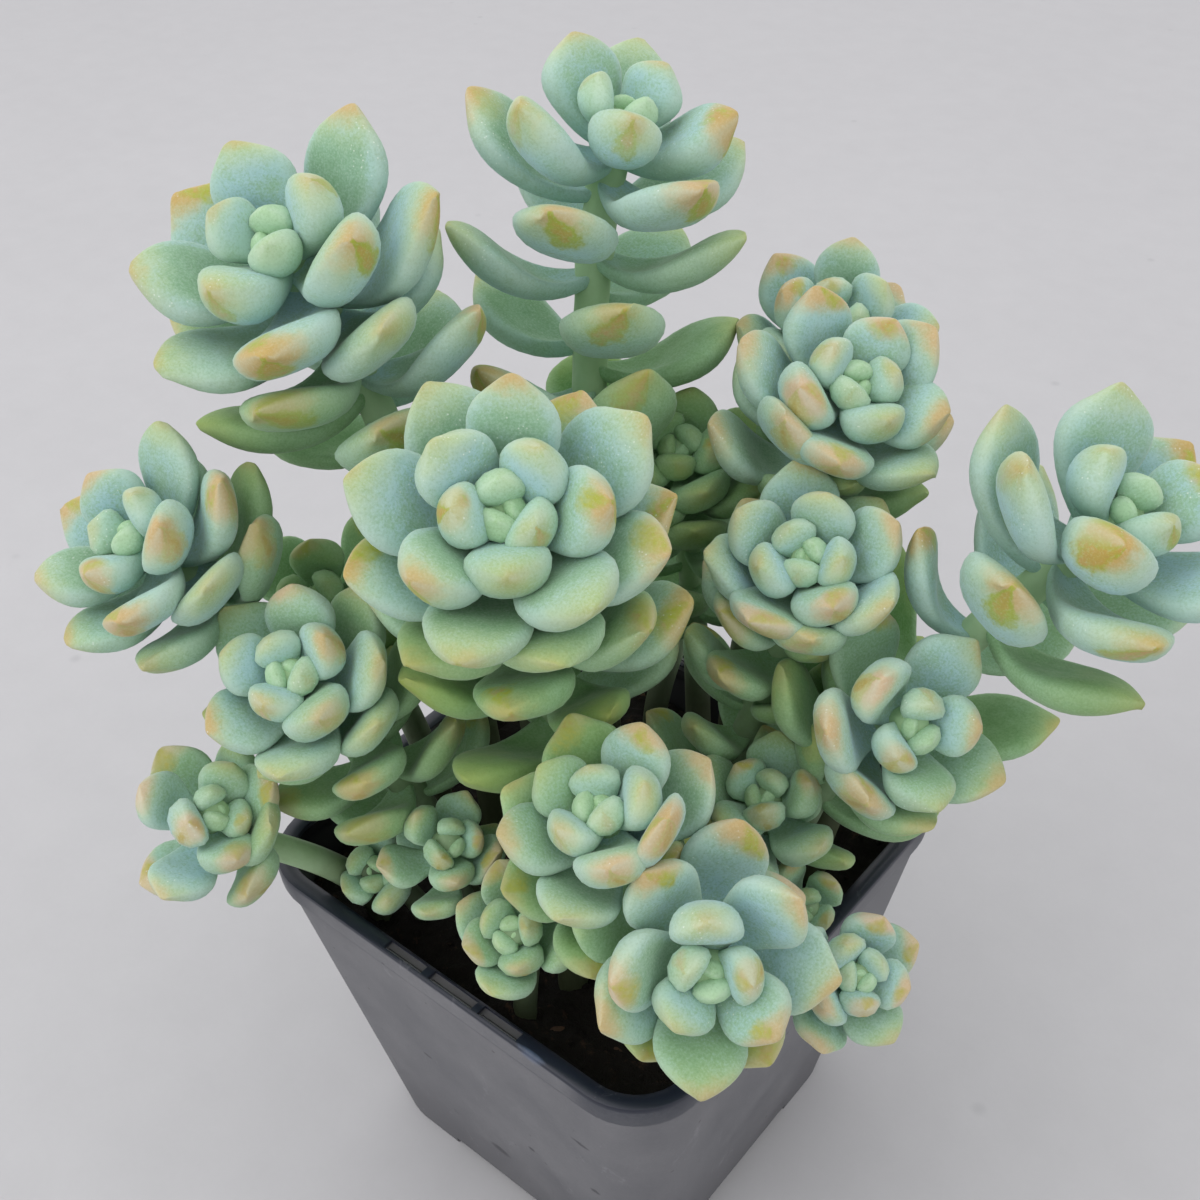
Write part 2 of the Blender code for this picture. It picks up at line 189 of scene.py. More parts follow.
class Finish:  # one material and the nodes in it
    def __init__(self, name, **constants):
        self.material = bpy.data.materials.new(name)
        self.material.use_nodes = True
        self.tree = self.material.node_tree
        self.shader = self.tree.nodes["Principled BSDF"]
        for key, value in constants.items():
            self.shader.inputs[key.replace("_", " ")].default_value = value

    def add(self, kind, settings, values, output=0):
        node = self.tree.nodes.new(kind)
        for key, setting in settings.items():
            setattr(node, key, setting)
        numbered = enumerate(values) if isinstance(values, list) else values.items()
        for key, value in numbered:
            if isinstance(value, Value):
                self.tree.links.new(value.socket, node.inputs[key])
            else:
                node.inputs[key].default_value = value
        return Value(self, node.outputs[output])

    def place(self):
        return self.add("ShaderNodeTexCoord", {}, {}, "Object")

    def attribute(self, name):
        return self.add("ShaderNodeAttribute", {"attribute_name": name}, {}, "Fac")

    def noise(self, place, scale, detail=2.0, roughness=0.5, distortion=0.0):
        values = {"Vector": place, "Scale": scale, "Detail": detail}
        values.update({"Roughness": roughness, "Distortion": distortion})
        return self.add("ShaderNodeTexNoise", {}, values)

    def cells(self, place, scale):  # the distance to the nearest of many scattered points
        return self.add("ShaderNodeTexVoronoi", {}, {"Vector": place, "Scale": scale}, "Distance")

    def step(self, value, low, high):  # 0 below low, 1 above high, smooth between
        settings = {"interpolation_type": "SMOOTHSTEP"}
        return self.add("ShaderNodeMapRange", settings, [value, low, high, 0.0, 1.0])

    def stretch(self, place, scale):
        return self.add("ShaderNodeMapping", {}, {"Vector": place, "Scale": scale})

    def axis(self, place, name):
        return self.add("ShaderNodeSeparateXYZ", {}, {"Vector": place}, name)

    def mix(self, share, first, second):  # colours
        values = {0: share, 6: self.colour(first), 7: self.colour(second)}
        return self.add("ShaderNodeMix", {"data_type": "RGBA"}, values, 2)

    def colour(self, value):
        return value if isinstance(value, Value) else (*value, 1)

    def set(self, name, value):
        self.tree.links.new(value.socket, self.shader.inputs[name])

    def bump(self, height, strength, distance):
        values = {"Height": height, "Strength": strength, "Distance": distance}
        self.set("Normal", self.add("ShaderNodeBump", {}, values))


# Leaf: one fleshy blade, modelled at unit size with its root at the origin and its tip at z = 1

leafForm = {
    "sides": 12,
    # share of the length, then half width and thickness as shares of the most
    "sections": (
        (0.03, 0.30, 0.42), (0.12, 0.42, 0.55), (0.25, 0.60, 0.72), (0.40, 0.80, 0.88),
        (0.54, 0.97, 0.98), (0.67, 1.00, 1.00), (0.79, 0.84, 0.86), (0.88, 0.58, 0.63),
        (0.945, 0.32, 0.37), (0.985, 0.12, 0.16),
    ),
    "upperShare": 0.37,  # of the thickness that lies above the middle plane
    "fineFrom": 0.009,  # leaves longer than this get the finer copy
    "fineSwell": 1.035,  # makes good what smoothing takes off
}


def modelLeaf():
    rings = len(leafForm["sections"]) + 1
    near = 0.001
    placed = -2  # rings that have their place wait this much lower
    bpy.ops.mesh.primitive_uv_sphere_add(segments=leafForm["sides"], ring_count=rings, radius=0.5)
    leaf = bpy.context.object
    edit(leaf)
    bpy.ops.mesh.select_all(action="SELECT")
    bpy.ops.transform.translate(value=(0, 0, 0.5))
    for number, (along, half, body) in enumerate(leafForm["sections"], 1):
        turn = math.pi * number / rings
        height = 0.5 - 0.5 * math.cos(turn)
        radius = 0.5 * math.sin(turn)
        selectPoints(leaf, lambda co: abs(co.z - height) < near and co.xy.length > near)
        size = (half / radius, body / radius / 2, 1)
        bpy.ops.transform.resize(value=size, center_override=(0, 0, height))
        leaveEdit()
        for point in leaf.data.vertices:
            if point.select:
                point.co.z = along + placed
        bpy.ops.object.mode_set(mode="EDIT")
    leaveEdit()
    for point in leaf.data.vertices:
        if point.co.z < placed / 4:
            point.co.z -= placed
        share = leafForm["upperShare"] if point.co.y > 0 else 1 - leafForm["upperShare"]
        point.co.y *= 2 * share
    bpy.ops.object.select_all(action="DESELECT")
    leaf.name = "leafForm"
    return leaf


def refineLeaf(leaf):
    fine = copyOf(leaf)
    addModifier(fine, "SUBSURF", levels=1, render_levels=1)
    points = pointsOf(fine)
    points[:, :2] *= leafForm["fineSwell"]
    points[:, 2] = (points[:, 2] - points[:, 2].min()) / np.ptp(points[:, 2])
    fine.data.vertices.foreach_set("co", points.ravel())
    return fine


plainLeaf = modelLeaf()
fineLeaf = refineLeaf(plainLeaf)
print("leaf modelled:", len(plainLeaf.data.polygons), "and", len(fineLeaf.data.polygons), "faces")


# Where the leaves grow. Each leaf follows the one before it by the golden angle, opens wider with age
# and is left behind down the stem. One row for each stem, in the order of stemKeys.

stemKeys = (
    "crown", "tilt", "facing",  # the crown's place, and how far and which way it leans, in degrees
    "leaf",  # length of the longest leaves
    "turn", "hand",  # direction of the youngest leaf, and sense of the spiral
    "pace",  # how much older each leaf is than the one before it
    "leaves", "spread", "drop",  # number, widest opening in degrees, and how soon they are left behind
    "foot", "radius",
)
stemRows = (
    ((0.001, -0.020, 0.152), 41, -49, 0.0256, 18, -1, 0.83, 37, 63, 1.15, (0.002, -0.008), 0.0030),
    ((-0.050, -0.012, 0.174), 34, -80, 0.0275, 239, -1, 1.10, 26, 65, 1.05, (-0.022, -0.006), 0.0030),
    ((-0.025, 0.038, 0.183), 21, -1, 0.0267, 50, -1, 1.25, 25, 63, 1.45, (-0.014, 0.017), 0.0030),
    ((0.046, -0.033, 0.103), 68, -53, 0.0200, 62, -1, 1.18, 19, 60, 0.85, (0.026, -0.022), 0.0026),
    ((0.064, 0.040, 0.145), 30, -14, 0.0262, 170, -1, 1.40, 23, 54, 1.25, (0.031, 0.019), 0.0028),
    ((0.049, 0.013, 0.116), 60, -34, 0.0198, 157, 1, 1.30, 20, 59, 1.10, (0.031, 0.005), 0.0026),
    ((0.019, 0.040, 0.150), 38, -25, 0.0210, 296, 1, 1.00, 25, 62, 0.90, (0.011, 0.027), 0.0026),
    ((-0.055, -0.044, 0.137), 39, -101, 0.0206, 128, -1, 1.25, 20, 62, 0.65, (-0.032, -0.022), 0.0026),
    ((-0.026, -0.041, 0.123), 35, -60, 0.0188, 71, 1, 1.00, 28, 63, 1.05, (-0.012, -0.024), 0.0026),
    ((0.025, -0.030, 0.117), 24, -106, 0.0183, 89, 1, 1.06, 24, 61, 0.90, (0.012, -0.024), 0.0026),
    ((0.027, 0.017, 0.134), 35, -70, 0.0180, 185, -1, 1.03, 37, 58, 0.80, (0.016, 0.010), 0.0026),
    ((-0.0318, -0.0567, 0.102), 45, 15, 0.0153, 347, -1, 1.15, 16, 65, 1.00, (-0.024, -0.034), 0.0024),
    ((-0.010, 0.034, 0.130), 32, -62, 0.0183, 324, -1, 0.95, 28, 65, 1.10, (-0.001, 0.029), 0.0024),
    ((0.0065, 0.0555, 0.1515), 40, -55, 0.0180, 60, 1, 1.10, 16, 62, 1.00, (0.001, 0.036), 0.0024),
    ((-0.004, -0.034, 0.095), 48, -4, 0.0116, 140, 1, 1.28, 13, 66, 1.10, (-0.001, -0.030), 0.0020),
    ((0.014, -0.038, 0.091), 51, -78, 0.0126, 338, 1, 1.10, 13, 65, 0.95, (0.011, -0.035), 0.0020),
    ((0.032, 0.002, 0.098), 30, -109, 0.0155, 16, -1, 1.16, 12, 65, 0.90, (0.022, -0.005), 0.0020),
    ((0.058, -0.012, 0.089), 40, -37, 0.0131, 81, -1, 1.03, 13, 65, 0.90, (0.034, -0.010), 0.0020),
    ((0.043, -0.002, 0.084), 50, -50, 0.0110, 10, -1, 1.20, 8, 62, 1.00, (0.029, -0.003), 0.0018),
    ((-0.046, -0.019, 0.114), 48, -60, 0.0190, 130, 1, 1.10, 14, 66, 1.20, (-0.032, -0.010), 0.0024),
    ((-0.021, -0.036, 0.078), 40, -60, 0.0130, 200, -1, 1.10, 9, 62, 1.00, (-0.017, -0.030), 0.0020),
    ((-0.052, 0.026, 0.094), 40, 150, 0.0180, 75, 1, 1.10, 9, 64, 1.10, (-0.030, 0.014), 0.0024),
    ((-0.018, 0.054, 0.092), 38, 105, 0.0175, 310, -1, 1.10, 9, 64, 1.10, (-0.015, 0.033), 0.0024),
    ((0.026, 0.056, 0.088), 36, 70, 0.0170, 160, 1, 1.10, 9, 64, 1.10, (0.021, 0.032), 0.0024),
)

growth = {
    "goldenAngle": math.radians(137.508),
    "budLean": 14,  # degrees off the stem, for the youngest
    "openingAge": 6.5,
    "budLength": 0.18,  # shares of the longest leaf's length
    "lengthStep": 0.078,
    "dropStep": 0.00005,
    "dropPower": 2.0,
    "matureAge": 10,
    "smallLeaf": 0.012,
    "largeLeaf": 0.024,
    "smallExtra": 0.07,  # how much wider and thicker small leaves are than large ones
    "bow": 0.15,  # the most that a leaf is bowed, as a share of its length
    "bends": (0, -7, 7, -14, 14, -22, 22, -32, 32),  # how a leaf may have moved to clear others
    "turns": (0, 8, -8, 16, -16),
    "sizes": (1.0, 0.92, 0.84, 0.76, 0.68),
    "moveStep": 7,  # degrees that count as much as one step in size
    "tipReach": 0.00002,  # how near a tip of the CAD node has to be
}

stemForm = {
    "soilTop": 0.062,
    "buried": 0.010,
    "rise": 0.42,  # shares of the way from foot to crown that hold the curve upright and in line
    "neck": 0.30,
    "taper": 0.95,
    "steps": 60,
    "sides": 14,
    "rings": 40,
    "capSize": 0.7,
    "swell": 0.16,  # how much thicker the stem is at each leaf, and over how many radii
    "swellReach": 0.8,
}


def crownAxis(stem):
    tilt = math.radians(stem["tilt"])
    facing = math.radians(stem["facing"])
    return Vector((math.sin(tilt) * math.cos(facing), math.sin(tilt) * math.sin(facing), math.cos(tilt)))


def stemCurve(stem, steps):  # points and directions from the foot to the crown
    crown = Vector(stem["crown"])
    foot = Vector((*stem["foot"], stemForm["soilTop"]))
    reach = (crown - foot).length
    rise = foot + Vector((0, 0, stemForm["rise"] * reach))
    neck = crown - crownAxis(stem) * stemForm["neck"] * reach
    curve = []
    for step in range(steps + 1):
        t = step / steps
        s = 1 - t
        point = foot * s ** 3 + rise * 3 * t * s ** 2 + neck * 3 * t * t * s + crown * t ** 3
        direction = (rise - foot) * s ** 2 + (neck - rise) * 2 * t * s + (crown - neck) * t * t
        curve.append((point, direction.normalized()))
    return curve


def pointBelowCrown(curve, drop):
    point, direction = curve[-1]
    for before, along in reversed(curve[:-1]):
        run = (point - before).length
        if run >= drop:
            share = drop / run
            return point.lerp(before, share), direction.lerp(along, share).normalized()
        drop -= run
        point, direction = before, along
    return point, direction


def placeLeaf(stem, number, bend=0, turn=0, size=1.0):  # numbers below 0 are for leaves inside the crown
    age = number * stem["pace"]
    start = Vector((0, 0, 1)).cross(crownAxis(stem)).normalized()
    drop = stem["drop"] * growth["dropStep"] * abs(age) ** growth["dropPower"]
    root, direction = pointBelowCrown(stem["curve"], drop)
    start = (start - direction * start.dot(direction)).normalized()
    other = direction.cross(start)
    angle = math.radians(stem["turn"] + turn) + stem["hand"] * growth["goldenAngle"] * number
    outwards = math.cos(angle) * start + math.sin(angle) * other
    spread = stem["spread"] * (1 - math.exp(-age / growth["openingAge"]))
    opening = math.radians(growth["budLean"] + spread + bend)
    length = stem["leaf"] * min(1, growth["budLength"] + growth["lengthStep"] * age) * size
    return {
        "number": number,
        "root": root,
        "chord": math.cos(opening) * direction + math.sin(opening) * outwards,
        "under": -math.sin(opening) * direction + math.cos(opening) * outwards,
        "length": length,
    }


def leafMoves():  # the slightest first
    moves = []
    for bend in growth["bends"]:
        for turn in growth["turns"]:
            for number, size in enumerate(growth["sizes"]):
                moves.append(((abs(bend) + abs(turn)) / growth["moveStep"] + number, bend, turn, size))
    moves.sort(key=lambda move: move[0])
    return [move[1:] for move in moves]


def findLeaves(stem, node, moves):  # the leaves of a CAD node, each found by its tip
    points = kdtree.KDTree(len(node.data.vertices))
    for point in node.data.vertices:
        points.insert(point.co, point.index)
    points.balance()
    leaves = []
    unfound = []
    for number in range(stem["leaves"]):
        for move in moves:
            place = placeLeaf(stem, number, *move)
            tip = place["root"] + place["chord"] * place["length"]
            if points.find(tip)[2] < growth["tipReach"]:
                leaves.append(place)
                break
        else:
            unfound.append(number)
    return leaves, unfound


def readStems():
    moves = leafMoves()
    stems = []
    for number, row in enumerate(stemRows, 1):
        stem = dict(zip(stemKeys, row))
        stem["name"] = f"leafy_stem_{number:02d}"
        stem["curve"] = stemCurve(stem, stemForm["steps"])
        stem["found"], unfound = findLeaves(stem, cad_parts[stem["name"]], moves)
        if unfound:
            print(stem["name"], "has no tip for leaves", unfound)
        stems.append(stem)
    return stems


stems = readStems()
print("leaves found:", sum(len(stem["found"]) for stem in stems))


# Leafy stems: each stem and its leaves make one piece

leafLook = {
    "seed": 11,
    "buds": (-1, -2, -3),  # youngest leaves, added inside the crown
    "smallestBud": 0.11,  # shares of the leaf length
    "halfWidth": (0.50, 0.318),  # young and old, as shares of the length
    "thickness": (0.66, 0.262),
    "thinning": 1.7,  # above 1, leaves stay thick for longer
    "bow": (0.45, 0.85),  # young and old, as shares of the CAD leaf's bow
    "earlyBow": 0.90,  # share of the bow that comes low on the leaf, so that the tip runs straight
    "channel": (0.05, 0.32),  # how far the upper face sinks, young and old, as shares of the thickness
    "channelVary": (0.6, 1.2),
    "lens": (-0.12, 0.04),  # how much thinner young and old leaves are towards the rim
    "plump": (0.3, 0.9),  # how full the rims of old leaves are, above and below
    "keel": 0.10,  # how far the lower face stands out along its middle
    "blunt": 0.15,  # how much wider a blunt tip is
    "bluntVary": (-1, 0.6),
    "bluntAt": (0.92, 0.07),  # where on the leaf, and how far it reaches
    "wave": (0.022, 0.8),  # share of the length and turns along it, for the rims of old leaves
    "ripple": (0.014, 1.1),
    "roll": 9,  # degrees either way, at the tip
    "sweep": 0.035,  # shares of the length
    "vary": 0.05,  # of the width and the thickness
    "boxPull": 1.15,  # how strongly a leaf past the CAD box is drawn back into it
    "middle": 0.7,  # where on a leaf its shade is judged
    "shadeGap": 0.002,
    "shadeReach": 0.010,
    "shadeSlope": 0.35,  # how much further a leaf reaches for each metre that it is higher
    "shadeCount": 12,  # this many leaves above one put it in full shade
    "smallLeaf": 0.017,  # stems with leaves up to this length count as small, and past largeLeaf as large
    "largeLeaf": 0.022,
    "smallOpen": 0.6,  # share of the shade that doesn't reach small stems
}


lowPeak = 27 / 4  # makes the peak of along * (1 - along) ** 2 one


def budOf(stem, number):
    bud = placeLeaf(stem, number)
    bud["length"] = max(bud["length"], leafLook["smallestBud"] * stem["leaf"])
    return bud


def findShade(stems):  # how far each leaf is covered by others
    places = [place for stem in stems for place in stem["found"]]
    reach = leafLook["middle"]
    middles = np.array([place["root"] + place["chord"] * place["length"] * reach for place in places])
    for place, middle in zip(places, middles):
        rise = middles[:, 2] - middle[2]
        apart = np.hypot(*(middles[:, :2] - middle[:2]).T)
        near = leafLook["shadeReach"] + leafLook["shadeSlope"] * rise - apart
        above = (rise > leafLook["shadeGap"]) * np.clip(near / leafLook["shadeReach"], 0, 1)
        place["shade"] = min(1, above.sum() / leafLook["shadeCount"])


def leafSize(stem, place, rng):  # half width, thickness and maturity
    mature = min(1, max(0, place["number"]) * stem["pace"] / growth["matureAge"])
    reach = growth["largeLeaf"] - growth["smallLeaf"]
    small = max(0, min(1, (growth["largeLeaf"] - stem["leaf"]) / reach)) * growth["smallExtra"]
    sizes = []
    for key, pace in (("halfWidth", 1.0), ("thickness", leafLook["thinning"])):
        young, old = leafLook[key]
        share = young + (old - young) * mature ** pace + small
        sizes.append(share * place["length"] * (1 + rng.uniform(-1, 1) * leafLook["vary"]))
    return (*sizes, mature)


def leafMarks(unit):  # how far along, across, near the rim and up each point of the unit leaf is
    alongs, halves, bodies = zip(*leafForm["sections"])
    across = unit[:, 0] / np.interp(unit[:, 2], alongs, halves)
    share = np.where(unit[:, 1] > 0, leafForm["upperShare"], 1 - leafForm["upperShare"])
    deep = unit[:, 1] / share / np.interp(unit[:, 2], alongs, bodies)
    reach = np.maximum(np.hypot(across, deep), 0.2)
    return {"along": unit[:, 2], "across": across, "rim": np.abs(across) / reach, "upper": deep / reach}


def setMarks(piece, marks):
    for name, values in marks.items():
        attribute = piece.data.attributes.new(name, "FLOAT", "POINT")
        attribute.data.foreach_set("value", np.ascontiguousarray(values, np.float32))


def deepen(unit, body, mature, rng):  # how far each point of the unit leaf stands off its middle plane
    along = unit[:, 2]
    share = leafMarks(unit)["across"]
    inward = np.clip(1 - share ** 2, 0, 1)
    young, old = leafLook["channel"]
    channel = (young + (old - young) * mature) * rng.uniform(*leafLook["channelVary"])
    young, old = leafLook["lens"]
    depth = unit[:, 1] * np.maximum(inward, 0.0001) ** (young + (old - young) * mature)
    above, below = leafLook["plump"]
    depth *= np.sqrt(1 + np.where(depth > 0, above, below) * mature * share ** 2)
    depth *= 1 + np.where(depth < 0, leafLook["keel"] * inward * np.sin(math.pi * along), 0)
    sink = channel * lowPeak * along * (1 - along) ** 2 * inward
    return (depth - np.where(depth > 0, sink, 0)) * body


def waves(unit, rng):  # the rims' wave and ripple, as shares of the length
    along = unit[:, 2]
    share = leafMarks(unit)["across"]
    total = 0
    for key, side in (("wave", np.abs(share)), ("ripple", share)):
        height, turns = leafLook[key]
        total = total + height * np.sin(math.tau * turns * along + rng.uniform(0, math.tau)) * share * side
    return total


def bowed(along, mature):  # how far the leaf's middle line stands off its chord, and its slope
    young, old = leafLook["bow"]
    most = growth["bow"] * (young + (old - young) * mature)
    early = leafLook["earlyBow"]
    bow = 4 * along * (1 - along) * (1 - early) + lowPeak * along * (1 - along) ** 2 * early
    slope = 4 * (1 - 2 * along) * (1 - early) + lowPeak * (1 - along) * (1 - 3 * along) * early
    return most * bow, most * slope


def bendLeaf(unit, place, width, body, mature, rng):  # the points of a unit leaf in their place on the stem
    along = unit[:, 2]
    length = place["length"]
    depth = deepen(unit, body, mature, rng)
    roll = math.radians(leafLook["roll"]) * rng.uniform(-1, 1) * mature
    sweep = leafLook["sweep"] * rng.uniform(-1, 1)
    depth += waves(unit, rng) * along * mature * length
    middle, reach = leafLook["bluntAt"]
    bump = np.exp(-((along - middle) / reach) ** 2)
    blunt = 1 + leafLook["blunt"] * rng.uniform(*leafLook["bluntVary"]) * bump
    depth *= blunt
    across = unit[:, 0] * width * blunt
    turn = roll * along
    turned = across * np.cos(turn) - depth * np.sin(turn) + sweep * length * along ** 2
    depth = across * np.sin(turn) + depth * np.cos(turn)
    bow, slope = bowed(along, mature)
    chord, under = np.array(place["chord"]), np.array(place["under"])
    forward = chord + under * slope[:, None]
    forward /= np.linalg.norm(forward, axis=1)[:, None]
    side = np.cross(chord, under)
    points = np.array(place["root"]) + np.outer(along * length, chord) + np.outer(bow * length, under)
    points += np.outer(turned, side) - np.cross(side, forward) * depth[:, None]
    low, high = np.array(cadBox[0]), np.array(cadBox[1])
    over = np.maximum(points.max(axis=0) - high, 0) - np.maximum(low - points.min(axis=0), 0)
    return points - np.outer(along ** 2, over) * leafLook["boxPull"]


def growLeaf(stem, place, finish, rng):
    master = fineLeaf if place["length"] > leafForm["fineFrom"] else plainLeaf
    leaf = copyOf(master)
    unit = pointsOf(master)
    width, body, mature = leafSize(stem, place, rng)
    leaf.data.vertices.foreach_set("co", bendLeaf(unit, place, width, body, mature, rng).ravel())
    if stem["leaf"] < leafLook["smallLeaf"]:
        small = 1
    else:
        small = 0 if stem["leaf"] > leafLook["largeLeaf"] else 0.5
    shade = place.get("shade", 0) * (1 - leafLook["smallOpen"] * small)
    marks = leafMarks(unit)
    same = {"draw": rng.random(), "age": mature, "shade": shade, "small": small}
    marks.update({name: np.full(len(unit), value) for name, value in same.items()})
    setMarks(leaf, marks)
    leaf.data.materials.append(finish)
    return leaf


def modelStem():  # a straight stem at unit size, capped at both ends
    sides, rings = stemForm["sides"], stemForm["rings"]
    bpy.ops.mesh.primitive_circle_add(vertices=sides, radius=1, fill_type="NGON")
    stem = bpy.context.object
    stem.name = "stemForm"
    edit(stem)
    bpy.ops.mesh.select_all(action="SELECT")
    for _ in range(rings):
        bpy.ops.mesh.extrude_region_move(TRANSFORM_OT_translate={"value": (0, 0, 1 / rings)})
    bpy.ops.transform.resize(value=(stemForm["capSize"], stemForm["capSize"], 1))
    bpy.ops.mesh.select_all(action="SELECT")
    bpy.ops.mesh.normals_make_consistent(inside=False)
    leaveEdit()
    return stem


def growStem(stem, master, finish):
    piece = copyOf(master)
    curve, radius = stem["curve"], stem["radius"]
    down = Vector((0, 0, -1))
    path = [(curve[0][0] + down * stemForm["buried"], -down)] + curve
    path.append((curve[-1][0] + curve[-1][1] * radius, curve[-1][1]))
    lengths = np.cumsum([0] + [(after[0] - before[0]).length for before, after in zip(path, path[1:])])
    side = Vector((1, 0, 0))
    frames = []
    for point, direction in path:
        side = (side - direction * side.dot(direction)).normalized()
        frames.append((*point, *side, *direction.cross(side)))
    unit = pointsOf(master)
    run = unit[:, 2] * lengths[-1]
    spots = np.stack([np.interp(run, lengths, column) for column in np.array(frames).T], axis=1)
    radial = unit[:, :1] * spots[:, 3:6] + unit[:, 1:2] * spots[:, 6:9]
    skin = spots[:, :3] + radial * radius
    swell = np.zeros(len(unit))
    for place in stem["found"]:
        apart = skin - np.array(place["root"] + place["chord"] * radius)
        swell += np.exp(-np.sum(apart ** 2, axis=1) / (stemForm["swellReach"] * radius) ** 2)
    taper = 1 - (1 - stemForm["taper"]) * unit[:, 2]
    width = radius * taper * (1 + stemForm["swell"] * np.minimum(swell, 1))
    piece.data.vertices.foreach_set("co", (spots[:, :3] + radial * width[:, None]).ravel())
    setMarks(piece, {"along": unit[:, 2]})
    piece.data.materials.append(finish)
    return piece


leafColours = {
    "bud": (0.25, 0.44, 0.20),
    "skin": (0.200, 0.370, 0.205),
    "shadedSkin": (0.120, 0.270, 0.075),
    "thinPowder": (0.37, 0.56, 0.43),
    "thickPowder": (0.375, 0.58, 0.635),
    "mintPowder": (0.45, 0.595, 0.475),
    "shadedPowder": (0.32, 0.52, 0.24),
    "budPowder": (0.45, 0.66, 0.41),
    "cream": (0.48, 0.54, 0.18),
    "orangeTip": (0.54, 0.32, 0.09),
    "pinkTip": (0.68, 0.47, 0.36),
    "olive": (0.36, 0.40, 0.045),
    "dullOlive": (0.47, 0.40, 0.11),
    "rust": (0.46, 0.27, 0.07),
    "amber": (0.52, 0.28, 0.08),
    "greenAmber": (0.33, 0.39, 0.035),
    "peach": (0.63, 0.42, 0.33),
    "yellowPeach": (0.54, 0.48, 0.24),
    "sore": (0.43, 0.34, 0.08),
    "glow": (0.20, 0.31, 0.06),
    "paleGrain": (0.62, 0.76, 0.64),
    "darkGrain": (0.12, 0.22, 0.12),
    # rim: a pale margin that is partly painted sheen
    "rim": (0.66, 0.77, 0.66),
    "speck": (0.86, 0.90, 0.84),
}


